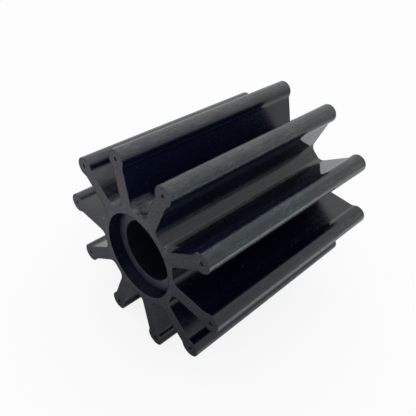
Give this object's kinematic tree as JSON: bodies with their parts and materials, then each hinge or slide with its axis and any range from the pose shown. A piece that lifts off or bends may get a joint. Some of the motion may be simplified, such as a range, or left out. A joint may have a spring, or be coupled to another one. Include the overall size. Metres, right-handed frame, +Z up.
{
  "type": "rubber pump impeller",
  "caption": "Flexible rubber pump impeller: straight radial vanes ending in round beads, moulded on a hub sleeve bonded over a keyed drive bush.",
  "frame": {"origin": "on the shaft axis, halfway along the vanes", "axes": "+Y along the shaft axis from the front end, which has the pin marks, to the rear end; +Z up, with the impeller lying on two neighbouring vane tips"},
  "size_m": [0.095, 0.1, 0.0908],
  "materials": {
    "rubber": "satin moulded black rubber",
    "bush": "smooth dark filled plastic"
  },
  "bodies": {
    "root": {"rubber_body": "rubber", "drive_bush": "bush"}
  },
  "joints": []
}
